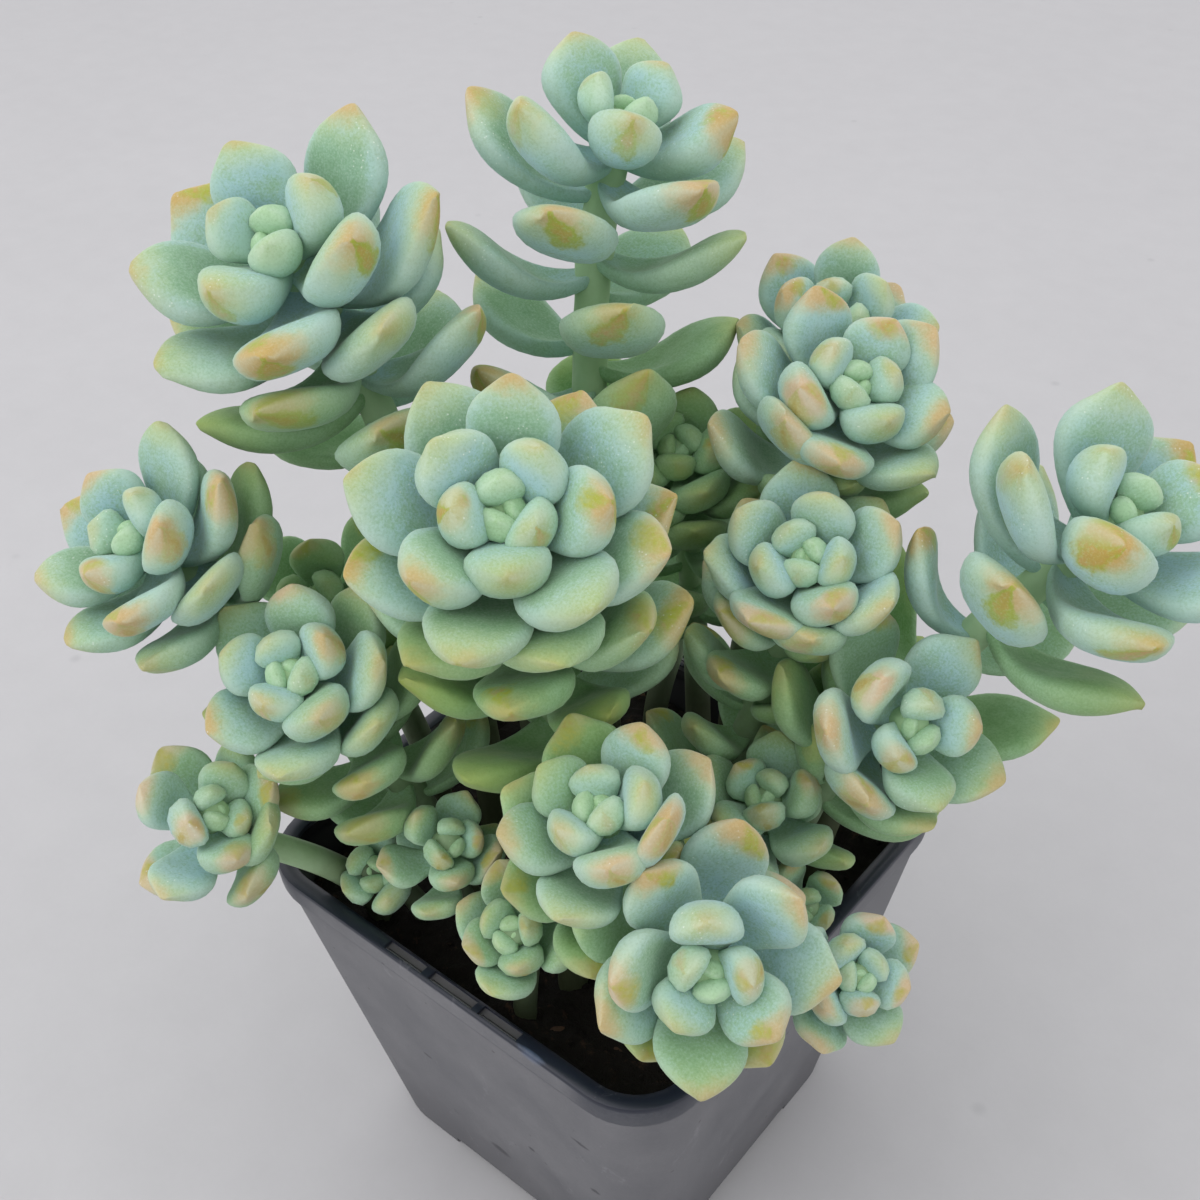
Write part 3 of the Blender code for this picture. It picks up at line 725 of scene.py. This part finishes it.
def leafFinish():
    finish = Finish(
        "sedumLeaf", IOR=1.35, Specular_IOR_Level=0.15, Sheen_Weight=0.16, Sheen_Roughness=0.45)
    hues, step, mix = leafColours, finish.step, finish.mix
    place = finish.place()
    names = ("along", "across", "rim", "upper", "draw", "age", "shade", "small")
    along, across, rim, upper, draw, age, shade, small = (finish.attribute(name) for name in names)
    grain = finish.noise(place, 2600, 2, 0.7)
    fine = finish.noise(place, 1300, 2, 0.7)
    ragged = finish.noise(place, 520, 3, 0.65)
    cloud = finish.noise(place, 230, 4, 0.6)
    broad = finish.noise(place, 70, 2)
    light = 1 - shade
    lot = (draw * 7.31).fraction()  # a second draw for each leaf

    # bloom: a pale powder, bluest away from the rim, and thin over the middle of some old leaves
    top = step(upper, -0.1, 0.8)
    middle = step(along, 0.1, 0.35) * (1 - step(along, 0.68, 0.93)) * (1 - step(rim, 0.6, 0.97))
    bare = step(age, 0.38, 0.85) * top * middle * (0.32 + step(broad, 0.3, 0.6) * 0.36)
    bare = bare * (1 - small * 0.7) * (0.2 + step(lot, 0.35, 0.60) * 0.8)
    # painted shade: leaves that others cover get thinner powder, a darker greener skin and powder, and
    # dimmer pale marks
    bloom = (0.97 + (cloud - 0.5) * 0.8 + (grain - 0.5) * 0.8 - bare - shade * 0.25).clamped()
    skin = mix(age, hues["bud"], mix(shade, hues["skin"], hues["shadedSkin"]))
    flat = (1 - step(rim, 0.45, 0.95)) * (1 - step(along, 0.6, 0.9) * 0.6)
    thick = step(bloom, 0.6, 1.0) * (0.42 + flat * 0.58)
    powder = mix(thick, hues["thinPowder"], hues["thickPowder"])
    powder = mix(step(broad, 0.4, 0.7) * 0.4, powder, hues["mintPowder"])
    powder = mix(step(shade, 0.0, 0.7) * 0.75, powder, hues["shadedPowder"])
    powder = mix(step(age, 0.0, 0.45), hues["budPowder"], powder)
    colour = mix(bloom * 0.94, skin, powder)

    # blush: cream yellow towards the tip, then orange on large leaves and pink on small ones
    reach = along + (ragged - 0.5) * 0.10 + (cloud - 0.5) * 0.10
    reach = reach + across * (lot - 0.5) * 0.16 - shade * 0.06
    colour = mix(step(reach, 0.70, 1.00) * step(age, 0.0, 0.5) * 0.68, colour, hues["cream"])
    pink = (small * 0.7 + lot * 0.6 - 0.15).clamped()
    warm = step(reach + (draw - 0.5) * 0.16 + small * 0.04, 0.84, 1.00) * step(age, 0.1, 0.6)
    warm = warm * (light * 0.55 + 0.45) * (0.35 + step(draw, 0.1, 0.6) * 0.45)
    colour = mix(warm, colour, mix(pink, hues["orangeTip"], hues["pinkTip"]))

    # rubbed patch: an olive spot beside the tip of some leaves, orange brown in its midst
    beside = (across - (lot - 0.5) * 1.3) * 2.2
    ahead = (along - 0.86 - lot * 0.06) * 8.5
    spot = beside * beside + ahead * ahead + (ragged - 0.5) * 3.2 + (cloud - 0.5) * 1.6
    patch = (1 - (spot - 0.1) * (0.9 - step(lot, 0.4, 0.6) * 0.5)).clamped()
    patch = patch * (0.62 + step(fine, 0.38, 0.62) * 0.38)
    rubbed = patch * step(draw, 0.62, 0.64) * step(age, 0.2, 0.4) * top
    olive = mix(pink, hues["olive"], hues["dullOlive"])
    olive = mix(step(cloud + (ragged - 0.5) * 0.6, 0.52, 0.66) * 0.8, olive, hues["rust"])
    colour = mix(rubbed * 0.95, colour, olive)

    # cheek: a soft patch on the outer face of many leaves, amber on large ones and peach on small ones
    outer = 1 - step(upper, -0.5, 0.15)
    out = (across - (lot - 0.5) * 1.1) * 1.5
    down = (along - 0.90 + small * 0.10) * 4.2
    away = out * out + down * down + (ragged - 0.5) * 1.2 + (cloud - 0.5) * 0.7
    cheek = (1 - step(away, 0.30, 0.75)) * outer * step(age, 0.12, 0.35) * step(draw, 0.15, 0.5)
    cheek = cheek * (light * 0.5 + 0.5) * (0.86 - small * 0.34)
    mottle = (step(away, -0.2, 0.4) * 0.9 + (fine - 0.5) * 1.2 + (lot - 0.2) * 0.7).clamped()
    amber = mix(mottle, hues["amber"], hues["greenAmber"])
    peach = mix(mottle, hues["peach"], hues["yellowPeach"])
    colour = mix(cheek, colour, mix(small, amber, peach))
    sore = out * out * 7.0 + down * down * 5.0 + (ragged - 0.5) * 3.0 + (cloud - 0.5) * 1.5
    sore = (1 - sore).clamped() * outer * step(draw, 0.45, 0.47) * step(age, 0.15, 0.4)
    colour = mix(sore * 0.75, colour, hues["sore"])

    # painted green light through some shaded leaves, fine grain, a pale rim that is partly painted sheen,
    # and white specks in clusters
    glow = shade * step(along + (cloud - 0.5) * 0.6, 0.45, 0.8) * step(lot, 0.3, 0.5)
    colour = mix(glow * 0.55, colour, hues["glow"])
    colour = mix(step(grain, 0.45, 0.75) * 0.16 * light, colour, hues["paleGrain"])
    colour = mix((1 - step(grain, 0.25, 0.5)) * 0.13, colour, hues["darkGrain"])
    edge = (rim ** 8.0) * step(along, 0.15, 0.5) * light
    colour = mix(edge * 0.25, colour, hues["rim"])
    fleck = 1 - step(finish.cells(place, 1150), 0.08, 0.20)
    fleck = fleck * step(finish.noise(place, 110, 2), 0.54, 0.66)
    colour = mix(fleck * 0.50 * light, colour, hues["speck"])
    finish.set("Base Color", colour)
    finish.set("Roughness", (0.82 - rubbed * 0.25 + (grain - 0.5) * 0.2).clamped())
    finish.bump(finish.noise(place, 160, 3, 0.55), 0.32, 0.0017)
    return finish.material


stemColours = {
    "green": (0.29, 0.46, 0.22),
    "pale": (0.42, 0.59, 0.36),
    "woody": (0.14, 0.19, 0.08),
    "paleWood": (0.26, 0.33, 0.15),
    # foot: painted shade low inside the pot
    "foot": (0.022, 0.026, 0.010),
}


def stemFinish():
    finish = Finish("sedumStem")
    hues, step, mix = stemColours, finish.step, finish.mix
    place = finish.place()
    cloud = finish.noise(place, 260, 4, 0.6)
    fibre = finish.noise(finish.stretch(place, (1, 1, 0.25)), 900, 3)
    x, y, z = (finish.axis(place, name) for name in "XYZ")
    young = step(finish.attribute("along") + (cloud - 0.5) * 0.3, 0.20, 0.55)
    outside = step(x.absolute().over(y.absolute()), 0.036, 0.046)  # past the pot's rim
    # painted shade: stems go nearly black low inside the pot, much less past the pot's rim
    old = (1 - step(z + (cloud - 0.5) * 0.01, 0.078, 0.112)) * (1 - outside * 0.8)
    colour = mix(cloud, hues["green"], hues["pale"])
    colour = mix(1 - young, colour, mix(fibre, hues["woody"], hues["paleWood"]))
    colour = mix(old * 0.85, colour, hues["foot"])
    finish.set("Base Color", colour)
    finish.set("Roughness", 0.55 + cloud * 0.2)
    finish.bump(fibre + cloud, 0.4, 0.0003)
    return finish.material


def makeLeafyStems():
    sedumLeaf, sedumStem = leafFinish(), stemFinish()
    findShade(stems)
    stemMaster = modelStem()
    total = 0
    for number, stem in enumerate(stems):
        rng = random.Random(leafLook["seed"] * 100 + number)
        places = stem["found"] + [budOf(stem, bud) for bud in leafLook["buds"]]
        parts = [growStem(stem, stemMaster, sedumStem)]
        parts += [growLeaf(stem, place, sedumLeaf, rng) for place in places]
        piece = joinPieces(parts, stem["name"].replace("leafy_stem", "leafyStem"))
        smooth(piece)
        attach(piece, "root")
        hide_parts(stem["name"])
        total += len(piece.data.polygons)
    for master in (plainLeaf, fineLeaf, stemMaster):
        bpy.data.objects.remove(master, do_unlink=True)
    print("leafy stems:", len(stems), "pieces,", total, "faces")


makeLeafyStems()


# Pot: the CAD pot's walls and lip with rounder corners and edges

potForm = {
    "baseSide": 0.067,
    "baseCorner": 0.0115,
    "rimCorner": 0.0125,
    "cornerSteps": 10,
    "lipHeight": 0.005,
    "lipWidth": 0.003,
    "lipStep": 0.0011,
    "ledgeDepth": 0.0015,
    "wall": 0.0014,
    "floor": 0.0018,
    "edge": 0.0005,
    "footHeight": 0.0022,
    "notch": (0.026, 0.0070),
    "drain": (0.0042, 0.018),
    "slots": ((-0.0068, 0.0085), (0.0038, 0.0096), (0.0140, 0.0082)),  # middle and length of each
    "slot": (0.0016, 0.0019, 0.0009),  # inset, width and depth
    "groove": (0.0013, 0.0003, 0.0013, 0.0004),  # inset, width, depth and distance from the slots' ends
    "smoothAngle": 32,
}


def potSections(height, rim):  # half side, corner radius and height of each ring, from the base up and in
    form = potForm
    lipFoot = height - form["lipHeight"]
    low, high = form["baseSide"] / 2, rim - form["lipStep"]

    def wall(z):
        return low + (high - low) * z / lipFoot

    corner = form["baseCorner"]
    edge = form["edge"]
    ledge = rim - form["lipWidth"]
    under = height - form["ledgeDepth"]
    inner = form["rimCorner"] - form["lipWidth"]
    return [
        (low, corner, edge),
        (wall(lipFoot), corner, lipFoot),
        (rim - edge / 2, form["rimCorner"], lipFoot + edge / 2),
        (rim - edge / 4, form["rimCorner"], lipFoot + 2 * edge),
        (rim, form["rimCorner"], height - 2 * edge),
        (rim - edge / 3, form["rimCorner"], height - edge / 2),
        (rim - edge, form["rimCorner"] - edge, height - edge / 8),
        (rim - 3 * edge, form["rimCorner"] - 3 * edge, height),
        (ledge + edge, inner + edge, height - edge / 3),
        (ledge, inner, height - edge),
        (ledge, inner, under),
        (wall(under) - form["wall"], inner, under - form["ledgeDepth"]),
        (wall(form["floor"]) - form["wall"], corner - form["wall"], form["floor"]),
    ]


def pushRing(pot, before, after):  # extrudes the selected top face and gives it a new outline
    bpy.ops.mesh.extrude_region_move(TRANSFORM_OT_translate={"value": (0, 0, after[2] - before[2])})
    grow = after[1] / before[1]
    arc = before[0] - before[1]
    shift = after[0] - after[1] - arc
    reach = 0.00001
    for x, y in ((1, 1), (-1, 1), (-1, -1), (1, -1)):
        selectPoints(pot, lambda co: abs(co.z - after[2]) < reach and co.x * x > 0 and co.y * y > 0)
        bpy.ops.transform.resize(value=(grow, grow, 1), center_override=(x * arc, y * arc, after[2]))
        bpy.ops.transform.translate(value=(x * shift, y * shift, 0))
    selectPoints(pot, lambda co: abs(co.z - after[2]) < reach)


def boxCutter(centre, size):
    deselectAll()
    bpy.ops.mesh.primitive_cube_add(size=1, location=centre)
    bpy.context.object.scale = size
    bpy.ops.object.transform_apply(location=True, rotation=True, scale=True)
    return bpy.context.object


def potCutters(height, rim):
    form = potForm
    cutters = []
    notchLength, notchDepth = form["notch"]
    inset, width, depth = form["slot"]
    for side in (-1, 1):
        edge = side * form["baseSide"] / 2
        cutters.append(boxCutter((edge, 0, 0), (notchDepth, notchLength, 2 * form["footHeight"])))
        cutters.append(boxCutter((0, edge, 0), (notchLength, notchDepth, 2 * form["footHeight"])))
        for middle, length in form["slots"]:
            centre = (-side * middle, side * (rim - inset), height)
            cutters.append(boxCutter(centre, (length, width, 2 * depth)))
    radius, offset = form["drain"]
    for x in (-offset, offset):
        for y in (-offset, offset):
            deselectAll()
            bpy.ops.mesh.primitive_cylinder_add(
                vertices=32, radius=radius, depth=4 * form["floor"], location=(x, y, 0))
            bpy.ops.object.transform_apply(location=True, rotation=True, scale=True)
            cutters.append(bpy.context.object)
    return cutters


def grooveCutters(height, rim):  # a fine groove in the floor of each slot
    inset, width, depth, end = potForm["groove"]
    cutters = []
    for side in (-1, 1):
        for middle, length in potForm["slots"]:
            place = (-side * middle, side * (rim - inset), height)
            cutters.append(boxCutter(place, (length - 2 * end, width, 2 * depth)))
    return cutters


def smudge(finish, first, second, centre, size):  # an oval mark, 1 in its middle
    across = (first - centre[0]) * (1 / size[0])
    along = (second - centre[1]) * (1 / size[1])
    return 1 - finish.step(across * across + along * along, 0.1, 1.0)


potColours = {
    "plastic": (0.030, 0.034, 0.048),
    "lipTop": (0.010, 0.013, 0.026),
    "dust": (0.184, 0.183, 0.194),
    # foot: painted shade towards the floor
    "foot": (0.075, 0.074, 0.082),
    "mark": (0.050, 0.050, 0.056),
    "streak": (0.34, 0.34, 0.36),
    "dot": (0.045, 0.042, 0.045),
    "worn": (0.13, 0.18, 0.29),
    # slot floors and their outer strip: painted light
    "slot": (0.085, 0.080, 0.085),
    "litSlotStrip": (0.48, 0.47, 0.48),
    # inside: painted shade within the pot
    "inside": (0.012, 0.012, 0.015),
}
potMarks = (  # on the front wall: place along it and height, then half length and half height
    ((0.0273, 0.0504), (0.0024, 0.0007)),
    ((0.0125, 0.0296), (0.0010, 0.0008)),
    ((0.0276, 0.0325), (0.0012, 0.0009)),
    ((0.0020, 0.0160), (0.0030, 0.0016)),
    ((-0.0110, 0.0380), (0.0014, 0.0006)),
    ((0.0190, 0.0150), (0.0012, 0.0010)),
)
wornSpot = ((0.0215, -0.0446), (0.0034, 0.0006))  # on the lip's top


def potFinish():
    finish = Finish("potPlastic", IOR=1.5)
    hues, step, mix = potColours, finish.step, finish.mix
    place = finish.place()
    x, y, z = (finish.axis(place, name) for name in "XYZ")
    cloud = finish.noise(place, 60, 4, 0.6)
    grain = finish.noise(place, 1500, 3, 0.7)
    fray = finish.noise(place, 700, 4, 0.7)
    across, along = x.absolute(), y.absolute()
    arc = z * 0.15 + 0.0215  # from the middle to the corners' centres
    dx, dy = (across - arc).over(0.0), (along - arc).over(0.0)
    outward = (dx * dx + dy * dy) ** 0.5
    # the inner walls below the ledge, which get painted shade
    inside = (1 - step(outward, 0.0110, 0.0114)) * (1 - step(z, 0.0708, 0.0722))
    lip = step(z, 0.0689, 0.0690)
    top = step(z, 0.0730, 0.0736)
    corner = step(across.under(along) + (cloud - 0.5) * 0.004, 0.026, 0.034)
    # painted shadow: a dark, ragged line just under the lip
    lipShade = step(z, 0.0684, 0.0690) * (1 - step(z + (fray - 0.5) * 0.0006, 0.0692, 0.0697))

    # dust: thick on the walls and the skirt, rubbed off the top of the lip and round its corners, with a
    # painted shadow line under the lip and painted shade towards the foot
    dust = 0.78 + (cloud - 0.5) * 0.95 + (grain - 0.5) * 0.35
    dust = (dust - lip * corner * 0.72 - top * 1.2 - lipShade * (0.55 + fray * 0.7)).clamped()
    colour = mix(dust, mix(top, hues["plastic"], hues["lipTop"]), hues["dust"])
    # painted shade: the walls darken towards the floor
    foot = (1 - step(z + (cloud - 0.5) * 0.02, 0.002, 0.034)) * 0.45
    colour = mix(foot, colour, hues["foot"])

    # dark marks, paler rubbed streaks and specks
    streak = finish.noise(finish.stretch(place, (1, 1, 0.25)), 300, 4, 0.7, 0.8)
    mark = step(streak, 0.64, 0.74) * (1 - top) * 0.35
    front = 1 - step(y, -0.034, -0.032)
    near, level = x + (fray - 0.5) * 0.0012, z + (fray - 0.5) * 0.0012
    for centre, size in potMarks:
        mark = mark.over(smudge(finish, near, level, centre, size) * front * 0.8)
    colour = mix(mark, colour, hues["mark"])
    pale = finish.noise(finish.stretch(place, (1, 1, 0.5)), 190, 5, 0.75, 1.0)
    colour = mix(step(pale, 0.60, 0.74) * 0.25, colour, hues["streak"])
    dot = (1 - step(finish.cells(place, 240), 0.06, 0.11)) * step(cloud, 0.50, 0.60) * (1 - top)
    colour = mix(dot * 0.6, colour, hues["dot"])
    worn = smudge(finish, near, y, *wornSpot) * step(z, 0.0722, 0.0730)
    colour = mix(worn * (0.1 + fray * 0.6), colour, hues["worn"])

    # painted light on the slots' floors, palest along the outer strip
    litSlotFloor = (1 - step(z, 0.07315, 0.07330)) * step(z, 0.0727, 0.0729) * (1 - step(across, 0.0181, 0.0183))
    litSlotFloor = litSlotFloor * step(along, 0.0424, 0.0425) * (1 - step(along, 0.0444, 0.0445))
    floor = mix(step(along, 0.04385, 0.04395), hues["slot"], hues["litSlotStrip"])
    colour = mix(litSlotFloor * (0.6 + grain * 0.4), colour, floor)
    # painted shade: the inside of the pot above the soil is darkened almost to black
    colour = mix(inside * 0.9, colour, hues["inside"])
    finish.set("Base Color", colour)
    finish.set("Roughness", (0.36 + dust * 0.38 + (cloud - 0.5) * 0.15).clamped())
    finish.bump(grain * 0.5 + cloud, 0.15, 0.0002)
    return finish.material


def makePot():
    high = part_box("pot")[1]
    sections = potSections(high.z, high.x)
    first = (sections[0][0] - potForm["edge"], sections[0][1] - potForm["edge"], 0)
    deselectAll()
    bpy.ops.mesh.primitive_plane_add(size=2 * first[0])
    pot = bpy.context.object
    edit(pot)
    bpy.ops.mesh.select_mode(type="VERT")
    bpy.ops.mesh.select_all(action="SELECT")
    bpy.ops.mesh.bevel(offset=first[1], segments=potForm["cornerSteps"], affect="VERTICES")
    bpy.ops.mesh.select_all(action="SELECT")
    for before, after in zip([first, *sections], sections):
        pushRing(pot, before, after)
    bpy.ops.mesh.select_all(action="SELECT")
    bpy.ops.mesh.normals_make_consistent(inside=False)
    leaveEdit()
    for shapes in (potCutters(high.z, high.x), grooveCutters(high.z, high.x)):
        cutters = joinPieces(shapes, "potCutters")
        addModifier(pot, "BOOLEAN", operation="DIFFERENCE", object=cutters, solver="EXACT")
        bpy.data.objects.remove(cutters, do_unlink=True)
    pot.name = "squarePot"
    smooth(pot, potForm["smoothAngle"])
    finishPiece(pot, potFinish(), "pot", "pot")
    print("pot:", len(pot.data.polygons), "faces")


makePot()


# Soil: the CAD soil keeps its place and gets a crumbly top with bits of bark on it

soilForm = {
    "top": 0.062,
    "wave": (210, 170, 330, 90),  # the slow rise and fall of the CAD soil
    "bump": 0.0009,
    "cell": 0.0009,
    "corner": 0.0105,
    "gap": 0.0004,  # between the crumbly top and the CAD soil's sides
    "skirt": 0.002,
    "lift": 0.0006,  # how far the lumps' lowest parts stand over the solid soil
    "lump": 0.0024,
    "lumpScale": 260,
    "lumpPower": 1.4,
    "seed": 5,
    "sink": 0.05,  # share of its size that a loose bit sinks in
    "lean": 0.6,
    # loose bits: name, fineness, proportions, roughness seed, number and sizes
    "crumbs": ("soilCrumbs", 1, (1, 0.8, 0.7), 1, 170, (0.0008, 0.0020)),
    "chips": ("barkChips", 2, (1, 0.45, 0.22), 4, 26, (0.0022, 0.0048)),
}


def soilHeight(x, y):
    first, second, third, fourth = soilForm["wave"]
    bump = math.sin(first * x) * math.cos(second * y) + math.sin(third * y + fourth * x)
    return soilForm["top"] + soilForm["bump"] * bump


def crumbHeight(x, y):
    spot = Vector((x, y, 0)) * soilForm["lumpScale"]
    lump = 0.5 + 0.5 * noise.fractal(spot, 0.7, 2.1, 4)
    return soilHeight(x, y) + soilForm["lift"] + soilForm["lump"] * max(0, lump) ** soilForm["lumpPower"]


def insideSquare(x, y, half, corner):  # the place, drawn in to a round-cornered square
    arc = half - corner
    dx, dy = abs(x) - arc, abs(y) - arc
    if dx > 0 and dy > 0:
        reach = math.hypot(dx, dy)
        if reach > corner:
            dx, dy = dx * corner / reach, dy * corner / reach
    return math.copysign(min(half, arc + dx), x), math.copysign(min(half, arc + dy), y)


soilColours = {
    "dark": (0.002, 0.0015, 0.001),
    "light": (0.012, 0.008, 0.005),
    "brown": (0.055, 0.029, 0.015),
    "bark": (0.018, 0.010, 0.005),
    "paleBark": (0.105, 0.052, 0.024),
}


def soilFinish():
    finish = Finish("pottingSoil", IOR=1.4)
    place = finish.place()
    cloud = finish.noise(place, 320, 5, 0.7)
    fine = finish.noise(place, 1400, 4, 0.7)
    clods = finish.cells(place, 420)
    dark = finish.mix(fine, soilColours["dark"], soilColours["light"])
    colour = finish.mix(finish.step(cloud, 0.56, 0.70) * 0.8, dark, soilColours["brown"])
    finish.set("Base Color", colour)
    finish.set("Roughness", (0.8 + fine * 0.2).clamped())
    finish.bump(cloud + fine * 0.4 + clods * 0.6, 0.9, 0.0008)
    return finish.material


def chipFinish():
    finish = Finish("barkChip")
    place = finish.place()
    streak = finish.noise(finish.stretch(place, (1, 1, 3)), 500, 4, 0.7)
    finish.set("Base Color", finish.mix(streak, soilColours["bark"], soilColours["paleBark"]))
    finish.set("Roughness", 0.75 + streak * 0.2)
    finish.bump(streak, 0.6, 0.0004)
    return finish.material


def makeBit(fineness, proportions, seed):  # one rough lump of unit size
    deselectAll()
    bpy.ops.mesh.primitive_ico_sphere_add(subdivisions=fineness, radius=0.5)
    bit = bpy.context.object
    for point in bit.data.vertices:
        rough = 1 + 0.35 * noise.noise(point.co * 3 + Vector((seed, 0, 0)))
        point.co = Vector([part * size for part, size in zip(point.co, proportions)]) * rough
    return bit


def scatter(kind, half, rng):
    name, fineness, proportions, seed, count, sizes = soilForm[kind]
    master = makeBit(fineness, proportions, seed)
    lean = soilForm["lean"]
    bits = []
    for _ in range(count):
        place = (rng.uniform(-half, half), rng.uniform(-half, half))
        x, y = insideSquare(*place, half, soilForm["corner"])
        size = rng.uniform(*sizes)
        turn = Matrix.Rotation(rng.uniform(0, math.tau), 4, "Z")
        turn = turn @ Matrix.Rotation(rng.uniform(-lean, lean), 4, "X")
        spot = Vector((x, y, crumbHeight(x, y) - soilForm["sink"] * size))
        bit = copyOf(master)
        bit.data.transform(Matrix.Translation(spot) @ turn @ Matrix.Scale(size, 4))
        bits.append(bit)
    bpy.data.objects.remove(master, do_unlink=True)
    return joinPieces(bits, name)


def makeSoil():
    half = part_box("soil")[1].x - soilForm["gap"]
    cells = round(2 * half / soilForm["cell"])
    deselectAll()
    bpy.ops.mesh.primitive_grid_add(x_subdivisions=cells, y_subdivisions=cells, size=2 * half)
    soil = bpy.context.object
    for point in soil.data.vertices:
        x, y = insideSquare(point.co.x, point.co.y, half, soilForm["corner"])
        point.co = (x, y, crumbHeight(x, y))
    edit(soil)
    bpy.ops.mesh.select_all(action="SELECT")
    bpy.ops.mesh.region_to_loop()
    bpy.ops.mesh.extrude_edges_move(TRANSFORM_OT_translate={"value": (0, 0, -soilForm["skirt"])})
    leaveEdit()
    soil.name = "soilTop"
    smooth(soil)
    finish = soilFinish()
    finishPiece(soil, finish, "soil")
    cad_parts["soil"].material_slots[0].material = finish
    rng = random.Random(soilForm["seed"])
    crumbs = scatter("crumbs", half, rng)
    smooth(crumbs)
    finishPiece(crumbs, finish, "soil")
    finishPiece(scatter("chips", half, rng), chipFinish(), "soil")
    print("soil:", len(soil.data.polygons), "faces")


makeSoil()


# Floor, light and camera

stage = {
    "floorSize": 3.0,
    "world": (0.98, 0.98, 1.0),
    "worldStrength": 0.985,
    "key": {"place": (-0.28, 0.20, 1.0), "size": 1.0, "energy": 1.5},
    "fill": {"place": (-0.3, -0.7, 0.70), "size": 0.8, "energy": 2.2},
    "aim": (0.0, 0.0, 0.1),
    "camera": {"azimuth": 40.64, "elevation": 38.6, "roll": -1.91, "distance": 0.23589, "lens": 45},
    "cameraAim": (0.0001, 0.0001, 0.1242),
    "sensor": 36,
    "clip": 0.005,
}
floorColours = {"dark": (0.470, 0.464, 0.474), "pale": (0.566, 0.561, 0.571), "dot": (0.33, 0.33, 0.34)}


def floorFinish():
    finish = Finish("paleFloor", IOR=1.4)
    place = finish.place()
    cloud = finish.noise(place, 9, 4, 0.6)
    blotch = finish.noise(place, 75, 3, 0.6)
    grain = finish.noise(place, 700, 4, 0.7)
    share = cloud * 0.35 + blotch * 0.40 + grain * 0.25
    colour = finish.mix(share, floorColours["dark"], floorColours["pale"])
    dot = (1 - finish.step(finish.cells(place, 30), 0.01, 0.07)) * finish.step(cloud, 0.42, 0.5)
    finish.set("Base Color", finish.mix(dot * 0.3, colour, floorColours["dot"]))
    finish.set("Roughness", 0.8 + grain * 0.15)
    return finish.material


def makeLight(name, place, size, energy):
    light = bpy.data.lights.new(name, "AREA")
    light.energy = energy
    light.size = size
    lamp = bpy.data.objects.new(name, light)
    bpy.context.scene.collection.objects.link(lamp)
    lamp.location = place
    lamp.rotation_euler = (Vector(stage["aim"]) - Vector(place)).to_track_quat("-Z", "Y").to_euler()


def makeCamera():
    view = stage["camera"]
    azimuth, elevation, roll = (math.radians(view[key]) for key in ("azimuth", "elevation", "roll"))
    back = Vector((
        math.sin(azimuth) * math.cos(elevation),
        -math.cos(azimuth) * math.cos(elevation),
        math.sin(elevation),
    ))
    right = Vector((0, 0, 1)).cross(back).normalized()
    up = back.cross(right)
    across = right * math.cos(roll) + up * math.sin(roll)
    over = up * math.cos(roll) - right * math.sin(roll)
    camera = bpy.data.objects.new("camera", bpy.data.cameras.new("camera"))
    bpy.context.scene.collection.objects.link(camera)
    camera.data.lens = view["lens"]
    camera.data.sensor_width = stage["sensor"]
    camera.data.clip_start = stage["clip"]
    matrix = Matrix((across, over, back)).transposed().to_4x4()
    matrix.translation = Vector(stage["cameraAim"]) + back * view["distance"]
    camera.matrix_world = matrix
    bpy.context.scene.camera = camera


def makeStage():
    deselectAll()
    bpy.ops.mesh.primitive_plane_add(size=stage["floorSize"])
    floor = bpy.context.object
    floor.name = "floor"
    floor.data.materials.append(floorFinish())
    world = bpy.data.worlds.new("softLight")
    bpy.context.scene.world = world
    world.use_nodes = True
    background = world.node_tree.nodes["Background"]
    background.inputs["Color"].default_value = (*stage["world"], 1)
    background.inputs["Strength"].default_value = stage["worldStrength"]
    makeLight("key", **stage["key"])
    makeLight("fill", **stage["fill"])
    makeCamera()
    bpy.context.scene.view_settings.view_transform = "Standard"


makeStage()
print("stage set")
